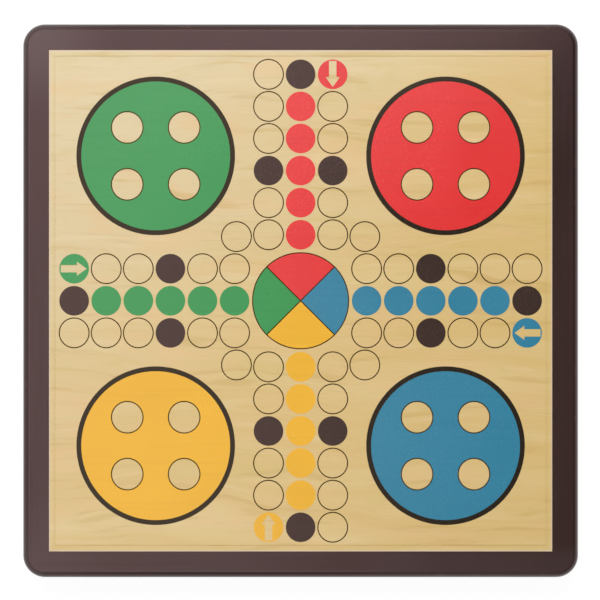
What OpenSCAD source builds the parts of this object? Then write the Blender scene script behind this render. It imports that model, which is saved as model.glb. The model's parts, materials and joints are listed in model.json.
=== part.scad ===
// Folding ludo board box: a flat square wooden case made of two equal trays.
// The trays are hinged along the back edge. The outer face of the lid is the ludo board,
// and the base holds the pawns and the die in divided compartments.
// X runs along the hinge, Y points to the hinge side and Z up.
// The origin is the middle of the underside.

/* [Case] */
// Width of the case, along the hinge
case_width = 290; // [286:1:330]
// Depth of the case, from the front to the hinge side
case_depth = 289; // [286:1:330]
// Height of each tray, from its outer face to its rim
tray_height = 18; // [17.5:0.5:24]
// Radius of the four corners, seen from above
corner_radius = 11.5; // [6:0.5:12]
// Width of the rounded edge round each outer face, seen from above
edge_width = 3.2; // [1:0.1:3.5]
// Slope, in degrees, at which the rounded edge leaves the outer face
edge_slope = 25; // [0:1:35]
// Bevel along both edges of each rim
rim_bevel = 0.6; // [0.2:0.1:1]

/* [Rails and panels] */
// Width of the frame rails
rail_width = 13.8; // [12.6:0.1:15]
// Thickness of the board panel and the base panel
panel_thickness = 4; // [3.5:0.1:5]
// Thickness of the tongue round a panel
tongue_thickness = 2; // [1.5:0.1:2.4]
// Depth of the groove that takes the tongue
groove_depth = 4; // [2:0.1:5]
// Gap left at the tongue's edge, for the movement of the wood
tongue_gap = 0.3; // [0.2:0.1:0.8]
// Clearance of a glued wood joint, on each side
joint_clearance = 0.1; // [0.05:0.05:0.15]
// Distance of the scored border line from the edge of the board
score_inset = 3.1; // [2:0.1:4]
// Width of the scored border line
score_width = 0.4; // [0.2:0.1:0.8]
// Depth of the scored border line
score_depth = 0.3; // [0.1:0.1:0.6]

/* [Corner keys] */
// Length of the hidden key across a mitre
key_length = 8; // [6:0.5:8.5]
// Thickness of the key
key_thickness = 2.4; // [2:0.1:3]
// Height of the key
key_height = 8; // [5:0.5:9]
// Distance of the key's middle from the outer faces
key_inset = 7; // [6.5:0.1:7.5]

/* [Compartments] */
// Clear depth of the row of small bins
bin_depth = 62; // [58:1:80]
// Clear width of the die bin, beside the four pawn bins that share the rest
die_bin_width = 35.6; // [28:0.1:48]
// Thickness of the dividers
divider_thickness = 3; // [2.5:0.1:4]
// Height of the dividers above the base panel
divider_height = 11; // [8:0.5:12.5]
// Depth of a divider's housing in a rail
rail_housing = 2; // [1:0.5:3]
// Depth of a cross divider's housing in the long divider
divider_housing = 1; // [0.5:0.1:1.2]
// Thickness of the felt lining
lining_thickness = 1; // [0.5:0.1:1.5]
// Gap between the lining and the walls round it
lining_gap = 0.3; // [0.2:0.1:1]

/* [Finger notch] */
// Length of the finger notch in the front, over both trays
notch_length = 64; // [40:1:80]
// Height of the finger notch over both trays
notch_height = 10; // [9:0.5:14]
// Depth of the finger notch
notch_depth = 5; // [4.5:0.1:6.5]

/* [Closing magnets] */
// Distance between the two pairs of magnets
magnet_spacing = 150; // [100:1:200]
// Diameter of a magnet
magnet_diameter = 8; // [5:0.5:9]
// Thickness of a magnet
magnet_thickness = 3; // [1.5:0.5:5]
// Clearance round a magnet in its bore
magnet_clearance = 0.05; // [0.02:0.01:0.1]

/* [Hinges] */
// Distance between the middles of the two hinges
hinge_spacing = 170; // [120:1:210]
// Length of each hinge
hinge_length = 25; // [22:0.5:35]
// Reach of a hinge leaf over the rim
leaf_width = 9.5; // [8.5:0.1:11]
// Thickness of a hinge leaf
leaf_thickness = 0.8; // [0.6:0.1:1]
// Distance of a leaf's face below the rim
leaf_sink = 0.05; // [0.02:0.01:0.1]
// Diameter of the hinge barrel
barrel_diameter = 2.5; // [2.4:0.1:3.2]
// Distance of the hinge axis behind the back face
axis_setback = 0.15; // [0.1:0.05:0.3]
// Clearance between the barrel and the wood
barrel_clearance = 0.2; // [0.1:0.05:0.4]
// Gap between the knuckles
knuckle_gap = 0.2; // [0.1:0.05:0.4]
// Diameter of the hinge pin
pin_diameter = 1.2; // [1:0.1:1.4]
// Radial clearance of the pin in the knuckles
pin_clearance = 0.05; // [0.02:0.01:0.09]
// Thickness of the rounded pin heads
pin_head = 0.3; // [0.2:0.1:0.5]
// Distance of the two screws from the middle of the hinge
screw_offset = 8; // [6:0.5:9]
// Distance of the screws from the back face
screw_reach = 5.5; // [5:0.1:6]
// Diameter of the screw shank
screw_diameter = 1.6; // [1.4:0.1:2]
// Diameter of the countersunk screw head
screw_head = 3.4; // [3:0.1:4]
// Length of a screw
screw_length = 7; // [5:0.5:9]
// Clearance round a screw
screw_clearance = 0.03; // [0.02:0.01:0.08]

/* [Board print] */
// Thickness of the printed ink
ink_thickness = 0.1; // [0.1:0.02:0.2]
// Gap between inks that meet
ink_gap = 0.02; // [0.01:0.01:0.05]
// Width of the thin outlines
line_width = 0.45; // [0.3:0.05:0.8]
// Distance between the middles of neighbouring fields
field_pitch = 16.72; // [16.5:0.01:17]
// Distance of the innermost fields of an arm from the middle
arm_start = 34.4; // [34:0.1:35]
// Diameter of an outlined field, at the middle of its line
field_diameter = 15.5; // [14:0.1:16]
// Diameter of a filled field
disc_diameter = 15.4; // [14:0.1:16]
// Diameter of the disc in the middle, at the middle of its outline
centre_diameter = 50; // [46:0.1:52]
// Distance of a home circle from the middle, along X and along Y
home_offset = 75.5; // [72:0.05:78]
// Outer diameter of a home circle
home_diameter = 82.6; // [76:0.1:84]
// Width of the dark ring round a home circle
home_ring = 2.5; // [1:0.1:4]
// Distance of a waiting place from the home's middle, along X and along Y
place_offset = 14.82; // [13:0.01:17]
// Diameter of a waiting place
place_diameter = 15.9; // [12:0.1:17]
// Length of the start arrow
arrow_length = 13.6; // [8:0.1:14]
// Width of the start arrow's shaft
arrow_shaft = 3.9; // [2:0.1:5]
// Width of the start arrow's head
arrow_head_width = 7.5; // [6:0.1:8]
// Length of the start arrow's head
arrow_head_length = 5.2; // [3:0.1:7]
// Distance of the arrow's middle from its field's middle, on the tail's side
arrow_shift = 0.2; // [0:0.05:0.4]

/* [Pawns and die] */
// Height of a pawn
pawn_height = 24; // [20:0.5:26]
// Diameter of a pawn's foot
pawn_foot = 12.4; // [11:0.1:12.6]
// Height of the foot
pawn_foot_height = 2.4; // [2:0.1:3]
// Rounding of the foot's edge
pawn_foot_edge = 0.6; // [0.3:0.1:0.9]
// Diameter of a pawn's head
pawn_head = 8; // [7:0.1:9]
// Diameter of the neck
pawn_neck = 4.6; // [4:0.1:5.5]
// Diameter of the body where it meets the foot
pawn_waist = 10.4; // [9:0.1:11]
// Radius of the hollow flank of the body
pawn_flank = 34; // [24:1:60]
// Gap between pawns that lie side by side
pawn_gap = 1.6; // [1.3:0.1:3]
// Angle by which a lying pawn is turned from the row
pawn_skew = 3; // [0:0.5:4]
// Gap between a loose piece and the felt
seat_gap = 0.15; // [0.1:0.05:0.3]
// Width of the die
die_size = 12; // [10:0.5:14]
// Diameter of the ball that rounds the die's corners
die_ball = 16.7; // [15.5:0.1:17.2]
// Diameter of a pip on the die
pip_diameter = 2; // [1.4:0.1:2.4]
// Depth of a pip
pip_depth = 0.35; // [0.2:0.05:0.6]
// Distance of the outer pips from the middle of a face
pip_offset = 3; // [2.5:0.1:3.2]
// Distance of the die from the walls of its bin
die_margin = 3.5; // [3:0.1:6]
// Angle by which the die is turned
die_turn = 14; // [0:1:45]

/* [Hidden] */

$fn = 64;
// Distance by which a cutting body passes the face that it cuts
over = 1;

// Colours
lacquer = "#43322f";
bare_wood = "#e2c993";
ply = "#d2b07a";
felt = "#2f5a45";
brass = "#b9924a";
nickel = "#c4c6c8";
ink_red = "#e5484a";
ink_green = "#56a364";
ink_yellow = "#efb742";
ink_blue = "#3e86a5";
ink_dark = "#3e2d2a";

// Case
case_height = 2 * tray_height;
cavity_width = case_width - 2 * rail_width;
cavity_depth = case_depth - 2 * rail_width;
edge_radius = edge_width / (1 - sin(edge_slope));
edge_drop = edge_radius * cos(edge_slope);
groove_floor = rail_width - groove_depth;
groove_start = panel_thickness - tongue_thickness;
key_bottom = panel_thickness + (tray_height - panel_thickness - key_height) / 2;

// Compartments
floor_top = panel_thickness + lining_thickness;
bin_front = cavity_depth / 2 - bin_depth;
long_divider_y = bin_front - divider_thickness / 2;
pawn_bins = 4;
pawn_bin_width = (cavity_width - die_bin_width) / pawn_bins - divider_thickness;

// Hinges
knuckle_span = hinge_length / 3;
barrel_radius = barrel_diameter / 2;
pin_bore_radius = pin_diameter / 2 + pin_clearance;
pin_head_radius = pin_diameter / 2 + 0.35;

// Board print
arm_fields = 6;
dark_field = 2;
top_face = case_height;

// Pawns: the body's flank is one hollow arc from the foot to the neck
head_z = pawn_height - pawn_head / 2;
neck_z = head_z - sqrt(pow(pawn_head, 2) - pow(pawn_neck, 2)) / 2;
flank_low = [pawn_waist / 2, pawn_foot_height];
flank_high = [pawn_neck / 2, neck_z];
flank_chord = flank_high - flank_low;
flank_rise = sqrt(pow(pawn_flank, 2) - pow(norm(flank_chord) / 2, 2));
flank_centre = (flank_low + flank_high) / 2
    + flank_rise * [flank_chord.y, -flank_chord.x] / norm(flank_chord);

// A lying pawn touches the felt with the edge of its foot and with its head
foot_r = pawn_foot / 2;
rest_point = [foot_r - pawn_foot_edge, pawn_foot_height - pawn_foot_edge];
rest_reach = norm([head_z - rest_point.y, rest_point.x]);
pawn_tilt = atan2(rest_point.x, head_z - rest_point.y)
    - asin((pawn_head / 2 - pawn_foot_edge) / rest_reach);
pawn_axis_height = rest_point.y * sin(pawn_tilt) + rest_point.x * cos(pawn_tilt) + pawn_foot_edge;

function rail_length(side) = (side == "front" || side == "back") ? case_width : case_depth;
function bin_left(i) = -cavity_width / 2 + i * (pawn_bin_width + divider_thickness);
function cross_divider_x(i) = bin_left(i) - divider_thickness / 2;

// Places a rail: in its own frame X runs along it, Y points inwards from its outer face
module on_side(side) {
    if (side == "front") translate([0, -case_depth / 2, 0]) children();
    if (side == "back") translate([0, case_depth / 2, 0]) rotate([0, 0, 180]) children();
    if (side == "left") translate([-case_width / 2, 0, 0]) rotate([0, 0, -90]) children();
    if (side == "right") translate([case_width / 2, 0, 0]) rotate([0, 0, 90]) children();
}

// The lid is the base turned over about the plane where the rims meet
module in_lid() {
    translate([0, 0, case_height]) mirror([0, 0, 1]) children();
}

// A box given by its lowest corner and its highest corner
module block(low, high) {
    translate(low) cube(high - low);
}

module bevel_cut(at) {
    translate(at) rotate(45) square(rim_bevel * sqrt(2), center = true);
}

// Cross-section of a rail: X inwards from the outer face, Y from the outer face to the rim
module rail_section(width, inner_bevel) {
    difference() {
        square([width, tray_height]);
        difference() {
            translate([-over, -over]) square([edge_radius, edge_drop] + over * [1, 1]);
            translate([edge_radius, edge_drop]) circle(edge_radius);
        }
        bevel_cut([0, tray_height]);
        if (inner_bevel) bevel_cut([width, tray_height]);
    }
}

// Half of a rounded corner, from the rail's straight part to the mitre
module corner_sector() {
    rotate([0, 0, -90]) rotate_extrude(angle = 45) intersection() {
        translate([corner_radius, 0]) mirror([1, 0]) rail_section(corner_radius, false);
        square([corner_radius, tray_height]);
    }
}

// What the mitre takes off the straight part, inside the rounded corner
module mitre_cut(half) {
    translate([0, 0, -over]) linear_extrude(tray_height + 2 * over) polygon([
        [half - corner_radius, corner_radius],
        [half - corner_radius + over, corner_radius],
        [half - corner_radius + over, rail_width + over],
        [half - rail_width - over, rail_width + over]
    ]);
}

module rail_blank(length) {
    half = length / 2;
    straight = half - corner_radius;
    difference() {
        translate([-straight, 0, 0]) rotate([90, 0, 90])
            linear_extrude(2 * straight) rail_section(rail_width, true);
        for (end = [0, 1]) mirror([end, 0, 0]) mitre_cut(half);
    }
    for (end = [0, 1]) mirror([end, 0, 0])
        translate([straight, corner_radius, 0]) corner_sector();
}

module panel_groove(length) {
    half = length / 2 - groove_floor;
    block([-half, groove_floor, groove_start],
        [half, rail_width + over, panel_thickness + joint_clearance]);
}

// The loose key that crosses a mitre at the rail's right-hand end
module corner_key(length, grow = 0) {
    size = [key_length, key_thickness, key_height] + grow * [2, 2, 2];
    translate([length / 2 - key_inset, key_inset, key_bottom + key_height / 2])
        rotate([0, 0, 45]) cube(size, center = true);
}

module rail(side) {
    length = rail_length(side);
    on_side(side) difference() {
        rail_blank(length);
        panel_groove(length);
        for (end = [0, 1]) mirror([end, 0, 0]) corner_key(length, joint_clearance);
        children();
    }
}

module corner_keys() {
    color(ply) for (side = ["front", "back"]) on_side(side)
        for (end = [0, 1]) mirror([end, 0, 0]) corner_key(case_width);
}

module panel() {
    field = [cavity_width, cavity_depth, 0] / 2 - joint_clearance * [1, 1, 0];
    tongue = [cavity_width, cavity_depth, 0] / 2 + (groove_depth - tongue_gap) * [1, 1, 0];
    block(-field, field + [0, 0, panel_thickness]);
    block([0, 0, groove_start] - tongue, tongue + [0, 0, panel_thickness]);
}

module scored_line() {
    outer = [cavity_width, cavity_depth] - 2 * score_inset * [1, 1];
    translate([0, 0, -over]) linear_extrude(score_depth + over) difference() {
        square(outer, center = true);
        square(outer - 2 * score_width * [1, 1], center = true);
    }
}

// Front closure
module finger_notch() {
    straight = (notch_length - notch_height) / 2;
    radius = notch_height / 2;
    block([-straight, -over, tray_height - radius], [straight, notch_depth, tray_height + radius]);
    for (x = [-straight, straight]) translate([x, notch_depth, tray_height])
        rotate([90, 0, 0]) cylinder(r = radius, h = notch_depth + over);
}

module magnet_places() {
    for (x = [-1, 1]) translate([x * magnet_spacing / 2, rail_width / 2, 0]) children();
}

module magnet_bores() {
    depth = magnet_thickness + 2 * magnet_clearance;
    magnet_places() translate([0, 0, tray_height - depth])
        cylinder(r = magnet_diameter / 2 + magnet_clearance, h = depth + over);
}

module magnets() {
    color(nickel) on_side("front") magnet_places()
        translate([0, 0, tray_height - magnet_clearance - magnet_thickness])
            cylinder(r = magnet_diameter / 2, h = magnet_thickness);
}

// Hinges, in the frame of the back rail: the axis lies on the parting plane behind the back face
module along_axis(x, length, radius) {
    translate([x, -axis_setback, tray_height]) rotate([0, 90, 0])
        cylinder(r = radius, h = length);
}

module hinge_places() {
    for (x = [-1, 1]) translate([x * hinge_spacing / 2, 0, 0]) children();
}

module screw_places() {
    for (x = [-1, 1]) translate([x * screw_offset, screw_reach, tray_height - leaf_sink]) children();
}

// A countersunk screw that points down from the leaf's face
module screw(grow = 0) {
    translate([0, 0, -leaf_thickness])
        cylinder(r1 = screw_diameter / 2 + grow, r2 = screw_head / 2 + grow, h = leaf_thickness);
    translate([0, 0, -screw_length - grow])
        cylinder(r = screw_diameter / 2 + grow, h = screw_length - leaf_thickness + 2 * grow);
}

module slotted_screw() {
    slot_width = 0.5;
    slot_depth = 0.3;
    difference() {
        screw();
        translate([0, 0, over / 2 - slot_depth])
            cube([screw_head + over, slot_width, over], center = true);
    }
}

module hinge_mortise() {
    half = hinge_length / 2 + joint_clearance;
    gouge = hinge_length / 2 + 2 * pin_head + barrel_clearance;
    block([-half, -over, tray_height - leaf_sink - leaf_thickness],
        [half, leaf_width + joint_clearance, tray_height + over]);
    along_axis(-gouge, 2 * gouge, barrel_radius + barrel_clearance);
    screw_places() screw(screw_clearance);
}

// One leaf with its knuckles: the base leaf has the outer two and the lid leaf the middle one
module hinge_leaf(middle) {
    half = hinge_length / 2;
    inner = knuckle_span / 2;
    own = middle ? [[-inner, inner]] : [[-half, -inner], [inner, half]];
    free = middle ? [[-half - over, -inner], [inner, half + over]] : [[-inner, inner]];
    difference() {
        union() {
            block([-half, -axis_setback, tray_height - leaf_sink - leaf_thickness],
                [half, leaf_width, tray_height - leaf_sink]);
            for (k = own) along_axis(k[0], k[1] - k[0], barrel_radius);
        }
        for (k = free) along_axis(k[0] - knuckle_gap / 2, k[1] - k[0] + knuckle_gap,
            barrel_radius + barrel_clearance);
        for (x = [-inner, inner]) along_axis(x - knuckle_gap / 2, knuckle_gap, barrel_radius + over);
        along_axis(-half - over, hinge_length + 2 * over, pin_bore_radius);
        screw_places() screw(screw_clearance);
    }
}

module hinge_pin() {
    half = (hinge_length + knuckle_gap) / 2;
    along_axis(-half, 2 * half, pin_diameter / 2);
    for (end = [0, 1]) mirror([end, 0, 0]) along_axis(half, pin_head, pin_head_radius);
}

// A left or right hinge piece, in its place on the case
module at_hinge(x) {
    on_side("back") translate([-x * hinge_spacing / 2, 0, 0]) children();
}

module hinge_screws() {
    color(brass) on_side("back") hinge_places() screw_places() slotted_screw();
}

// Dividers, grown by the joint's clearance where they cut their housings
module long_divider_blank(grow = 0) {
    reach = cavity_width / 2 + rail_housing - joint_clearance + grow;
    half = divider_thickness / 2 + grow;
    block([-reach, long_divider_y - half, panel_thickness],
        [reach, long_divider_y + half, panel_thickness + divider_height + grow]);
}

module cross_divider_blank(i, grow = 0) {
    half = divider_thickness / 2 + grow;
    block([cross_divider_x(i) - half, bin_front - divider_housing + joint_clearance - grow,
            panel_thickness],
        [cross_divider_x(i) + half, cavity_depth / 2 + rail_housing - joint_clearance + grow,
            panel_thickness + divider_height + grow]);
}

module cross_divider(i) {
    color(ply) cross_divider_blank(i);
}

// Felt, cut to the floor of each compartment
module felt_piece(low, high) {
    block([low.x + lining_gap, low.y + lining_gap, panel_thickness],
        [high.x - lining_gap, high.y - lining_gap, floor_top]);
}

// Board print: one arm with its home, drawn for the top arm and turned for the others
module ink() {
    translate([0, 0, top_face]) linear_extrude(ink_thickness) children();
}

module ring(diameter, width) {
    difference() {
        circle(d = diameter + width);
        circle(d = diameter - width);
    }
}

module at_field(column, row) {
    translate([column * field_pitch, arm_start + row * field_pitch]) children();
}

module at_places() {
    for (x = [-1, 1], y = [-1, 1])
        translate([home_offset + x * place_offset, home_offset + y * place_offset]) children();
}

module start_arrow() {
    tail = arrow_shift + arrow_length / 2;
    tip = arrow_shift - arrow_length / 2;
    neck = tip + arrow_head_length;
    polygon([
        [-arrow_shaft / 2, tail], [-arrow_shaft / 2, neck], [-arrow_head_width / 2, neck],
        [0, tip],
        [arrow_head_width / 2, neck], [arrow_shaft / 2, neck], [arrow_shaft / 2, tail]
    ]);
}

module home_disc() {
    difference() {
        translate([home_offset, home_offset])
            circle(d = home_diameter - 2 * home_ring - 2 * ink_gap);
        at_places() circle(d = place_diameter + 2 * line_width + 2 * ink_gap);
    }
}

module centre_sector() {
    apex = (line_width / 2 + ink_gap) * sqrt(2);
    reach = centre_diameter;
    intersection() {
        circle(d = centre_diameter - line_width - 2 * ink_gap);
        polygon([[0, apex], [reach, apex + reach], [-reach, apex + reach]]);
    }
}

module colour_print(quarter) {
    ink() rotate(quarter * 90) {
        home_disc();
        centre_sector();
        for (row = [0 : arm_fields - 2]) at_field(0, row) circle(d = disc_diameter);
        at_field(1, arm_fields - 1) difference() {
            circle(d = disc_diameter);
            start_arrow();
        }
    }
}

module dark_print() {
    ink() for (quarter = [0 : 3]) rotate(quarter * 90) {
        translate([home_offset, home_offset]) ring(home_diameter - home_ring, home_ring);
        at_field(0, arm_fields - 1) circle(d = disc_diameter);
        for (column = [-1, 1]) at_field(column, dark_field) circle(d = disc_diameter);
    }
}

module outline_print() {
    ink() {
        ring(centre_diameter, line_width);
        intersection() {
            circle(d = centre_diameter - line_width);
            for (turn = [45, -45]) rotate(turn)
                square([centre_diameter, line_width], center = true);
        }
        for (quarter = [0 : 3]) rotate(quarter * 90) {
            at_places() ring(place_diameter + line_width, line_width);
            translate([2, 2] * field_pitch) ring(field_diameter, line_width);
            for (row = [0 : arm_fields - 1], column = [-1, 1]) {
                is_start = column == 1 && row == arm_fields - 1;
                if (row != dark_field && !is_start)
                    at_field(column, row) ring(field_diameter, line_width);
            }
        }
    }
}

// A turned pawn, standing on its foot
module pawn() {
    rotate_extrude() {
        difference() {
            square([foot_r, pawn_foot_height]);
            translate([foot_r, pawn_foot_height]) rotate(180) difference() {
                translate([-over, -over]) square(pawn_foot_edge + over);
                translate([pawn_foot_edge, pawn_foot_edge]) circle(pawn_foot_edge);
            }
        }
        difference() {
            translate([0, pawn_foot_height / 2])
                square([pawn_waist / 2, neck_z - pawn_foot_height / 2]);
            translate(flank_centre) circle(pawn_flank, $fn = 180);
        }
        translate([0, head_z]) intersection() {
            circle(d = pawn_head);
            translate([0, -pawn_head]) square(2 * pawn_head);
        }
    }
}

module lying_pawn(turn) {
    translate([0, 0, floor_top + seat_gap + pawn_axis_height]) rotate([0, 0, turn])
        translate([0, -pawn_height / 2, 0]) rotate([-90 - pawn_tilt, 0, 0]) pawn();
}

// Four pawns in the left part of a bin, two and two
module pawn_set(bin) {
    lane = pawn_foot + pawn_gap;
    bin_middle = bin_front + bin_depth / 2;
    for (column = [0, 1], row = [0, 1])
        translate([bin_left(bin) + pawn_gap + foot_r + column * lane,
            bin_middle + (row - 0.5) * (pawn_height + 2 * pawn_gap), 0])
            lying_pawn(column == row ? pawn_skew : -pawn_skew);
}

// Pips of one face, on the face that looks along +X
module pips(count) {
    ball = (pow(pip_diameter / 2, 2) + pow(pip_depth, 2)) / (2 * pip_depth);
    corners = [[-1, 1], [1, -1], [-1, -1], [1, 1], [0, 1], [0, -1]];
    ends = 2 * floor(count / 2);
    spots = concat([for (k = [0 : 1 : ends - 1]) corners[k]], count % 2 == 1 ? [[0, 0]] : []);
    for (s = spots)
        translate([die_size / 2 + ball - pip_depth, s.x * pip_offset, s.y * pip_offset])
            sphere(ball);
}

module die_body() {
    faces = [[1, [0, 0, 0]], [6, [0, 0, 180]], [2, [0, 0, 90]],
        [5, [0, 0, -90]], [4, [0, 90, 0]], [3, [0, -90, 0]]];
    difference() {
        intersection() {
            cube(die_size, center = true);
            sphere(d = die_ball);
        }
        for (f = faces) rotate(f[1]) pips(f[0]);
    }
}

// Pieces of the base
module base_front_rail() {
    color(lacquer) rail("front") {
        finger_notch();
        magnet_bores();
    }
}

module base_back_rail() {
    color(lacquer) difference() {
        rail("back") hinge_places() hinge_mortise();
        for (i = [1 : pawn_bins]) cross_divider_blank(i, joint_clearance);
    }
}

module base_side_rail(side) {
    color(lacquer) difference() {
        rail(side);
        long_divider_blank(joint_clearance);
    }
}

module base_panel() {
    color(bare_wood) panel();
}

module base_lining() {
    left = -cavity_width / 2;
    right = cavity_width / 2;
    back = cavity_depth / 2;
    color(felt) {
        felt_piece([left, -back], [right, bin_front - divider_thickness]);
        for (i = [0 : pawn_bins - 1])
            felt_piece([bin_left(i), bin_front], [bin_left(i) + pawn_bin_width, back]);
        felt_piece([bin_left(pawn_bins), bin_front], [right, back]);
    }
}

module long_divider() {
    color(ply) difference() {
        long_divider_blank();
        for (i = [1 : pawn_bins]) cross_divider_blank(i, joint_clearance);
    }
}

module base_leaf(x) {
    color(brass) at_hinge(x) hinge_leaf(false);
}

module hinge_pin_at(x) {
    color(nickel) at_hinge(x) hinge_pin();
}

module die() {
    centre = die_margin + die_size * sqrt(2) / 2;
    color(bare_wood) translate([bin_left(pawn_bins) + centre, cavity_depth / 2 - centre,
        floor_top + seat_gap + die_size / 2]) rotate([0, 0, die_turn]) die_body();
}

// Pieces of the lid
module lid_front_rail() {
    color(lacquer) in_lid() rail("front") {
        finger_notch();
        magnet_bores();
    }
}

module lid_back_rail() {
    color(lacquer) in_lid() rail("back") hinge_places() hinge_mortise();
}

module lid_side_rail(side) {
    color(lacquer) in_lid() rail(side);
}

module board_panel() {
    color(bare_wood) in_lid() difference() {
        panel();
        scored_line();
    }
}

module lid_lining() {
    color(felt) in_lid() felt_piece(-[cavity_width, cavity_depth] / 2, [cavity_width, cavity_depth] / 2);
}

module lid_leaf(x) {
    color(brass) in_lid() at_hinge(x) hinge_leaf(true);
}

base_front_rail();
base_back_rail();
base_side_rail("left");  // base_left_rail
base_side_rail("right");  // base_right_rail
base_panel();
corner_keys();  // base_corner_keys
base_lining();
long_divider();
cross_divider(1);  // cross_divider_1
cross_divider(2);  // cross_divider_2
cross_divider(3);  // cross_divider_3
cross_divider(4);  // cross_divider_4
magnets();  // base_magnets
base_leaf(-1);  // left_hinge_base_leaf
base_leaf(1);  // right_hinge_base_leaf
hinge_pin_at(-1);  // left_hinge_pin
hinge_pin_at(1);  // right_hinge_pin
hinge_screws();  // base_hinge_screws
color(ink_red) pawn_set(0);  // pawns_red
color(ink_green) pawn_set(1);  // pawns_green
color(ink_yellow) pawn_set(2);  // pawns_yellow
color(ink_blue) pawn_set(3);  // pawns_blue
die();
lid_front_rail();
lid_back_rail();
lid_side_rail("left");  // lid_left_rail
lid_side_rail("right");  // lid_right_rail
board_panel();
in_lid() corner_keys();  // lid_corner_keys
lid_lining();
in_lid() magnets();  // lid_magnets
lid_leaf(-1);  // left_hinge_lid_leaf
lid_leaf(1);  // right_hinge_lid_leaf
in_lid() hinge_screws();  // lid_hinge_screws
color(ink_red) colour_print(0);  // print_red
color(ink_green) colour_print(1);  // print_green
color(ink_yellow) colour_print(2);  // print_yellow
color(ink_blue) colour_print(3);  // print_blue
color(ink_dark) dark_print();  // print_dark
color(ink_dark) outline_print();  // print_outlines
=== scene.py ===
"""Looks of the folding ludo board box.

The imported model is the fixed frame. This script dresses its wooden and metal pieces, and builds the pieces
that need a finer mesh: the board print, the felt linings, the turned pawns and the paint in the die's pips.
Everything is in metres: X runs along the hinge, Y points to the hinge side and Z up.
"""

import json
import logging
import math
from dataclasses import dataclass, field
from enum import Enum
from functools import cached_property
from typing import Iterable, Sequence, Union

import bpy
from mathutils import Euler, Matrix, Vector, noise
from mathutils.geometry import tessellate_polygon

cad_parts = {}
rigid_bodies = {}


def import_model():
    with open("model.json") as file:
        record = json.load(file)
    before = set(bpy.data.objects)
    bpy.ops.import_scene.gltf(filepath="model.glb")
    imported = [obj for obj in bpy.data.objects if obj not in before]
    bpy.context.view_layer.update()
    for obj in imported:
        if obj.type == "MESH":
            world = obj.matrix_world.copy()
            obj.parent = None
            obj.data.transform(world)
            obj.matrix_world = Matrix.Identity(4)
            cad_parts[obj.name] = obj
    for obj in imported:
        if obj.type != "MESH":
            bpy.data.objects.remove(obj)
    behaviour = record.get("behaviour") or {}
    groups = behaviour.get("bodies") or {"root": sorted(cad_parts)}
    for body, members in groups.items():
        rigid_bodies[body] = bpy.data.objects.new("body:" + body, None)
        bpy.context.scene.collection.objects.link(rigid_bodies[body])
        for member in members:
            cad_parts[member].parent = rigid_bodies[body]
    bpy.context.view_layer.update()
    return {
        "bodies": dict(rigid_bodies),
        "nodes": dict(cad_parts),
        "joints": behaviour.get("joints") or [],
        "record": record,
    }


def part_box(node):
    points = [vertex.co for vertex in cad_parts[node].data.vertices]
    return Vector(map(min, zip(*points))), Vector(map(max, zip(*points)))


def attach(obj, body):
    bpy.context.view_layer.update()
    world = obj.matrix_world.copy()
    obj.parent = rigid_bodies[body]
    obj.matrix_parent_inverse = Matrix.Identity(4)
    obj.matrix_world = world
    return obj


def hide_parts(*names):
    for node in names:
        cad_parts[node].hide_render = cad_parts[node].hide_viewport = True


MM = 0.001
log = logging.getLogger("ludo_box")

Object = bpy.types.Object
Material = bpy.types.Material
Socket = bpy.types.NodeSocket
Colour = tuple[float, float, float]
Triple = tuple[float, float, float]
Flat = tuple[float, float]
Loop = list[Flat]
Number = Union[float, Socket]
Frame = dict


class Body(Enum):
    """The two halves of the case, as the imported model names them."""

    BASE = "base"
    LID = "lid"


class Slot(Enum):
    """The record's material slots of the pieces built here, apart from the players' colours."""

    FELT = "felt"
    DIE = "die_wood"
    DARK = "ink_dark"
    OUTLINES = "ink_outlines"


class Grain(Enum):
    """The direction in which the fibres of a piece of wood run."""

    ALONG_X = 0
    ALONG_Y = 1
    ALONG_Z = 2

    def streaks(self, across: float, along: float) -> Triple:
        """Features per metre of a streaky pattern: many across the fibres and few along them."""
        return tuple(along if axis == self.value else across for axis in range(3))


class Team(Enum):
    """The four players' colours, in the order in which their arms follow each other to the left."""

    RED = 0
    GREEN = 1
    YELLOW = 2
    BLUE = 3

    @property
    def word(self) -> str:
        """The colour's name in lower case, as the nodes spell it."""
        return self.name.lower()


def paint(code: str) -> Colour:
    """The scene-linear values of a colour such as "a0b1c2"."""
    shares = [int(code[i : i + 2], 16) / 255 for i in (0, 2, 4)]
    return tuple(s / 12.92 if s <= 0.04045 else ((s + 0.055) / 1.055) ** 2.4 for s in shares)


# Materials


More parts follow.
